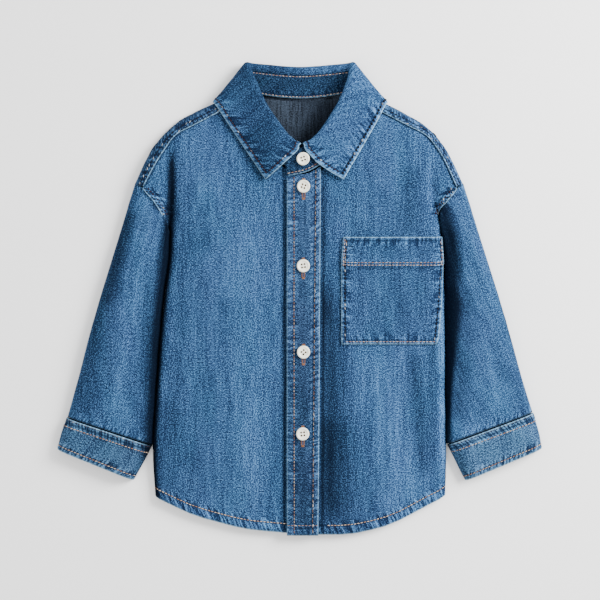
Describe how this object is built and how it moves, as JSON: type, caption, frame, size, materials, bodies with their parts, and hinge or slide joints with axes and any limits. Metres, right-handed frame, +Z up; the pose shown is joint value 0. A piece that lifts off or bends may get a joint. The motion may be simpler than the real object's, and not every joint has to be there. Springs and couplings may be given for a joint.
{
  "type": "child's denim shirt",
  "caption": "Small child's long-sleeved denim shirt with point collar, buttoned front placket, chest patch pocket and curved hem, laid flat on its back.",
  "frame": {"origin": "centre of the shirt's outline, on the surface that it lies on", "axes": "+Z up from the surface to the shirt's front, +Y from the hem to the collar, -X to the wearer's right sleeve"},
  "size_m": [0.4362, 0.425, 0.021],
  "materials": {
    "denim": "washed mid-blue cotton denim with copper-coloured topstitching and pale worn edges",
    "button": "ivory four-hole shirt button with a soft pearly gloss"
  },
  "bodies": {
    "root": {"back": "denim", "right_front": "denim", "left_front": "denim", "placket": "denim", "left_sleeve": "denim", "right_sleeve": "denim", "left_cuff": "denim", "right_cuff": "denim", "collar_stand": "denim", "collar": "denim", "pocket": "denim", "button_1": "button", "button_2": "button", "button_3": "button", "button_4": "button", "button_5": "button"}
  },
  "joints": []
}
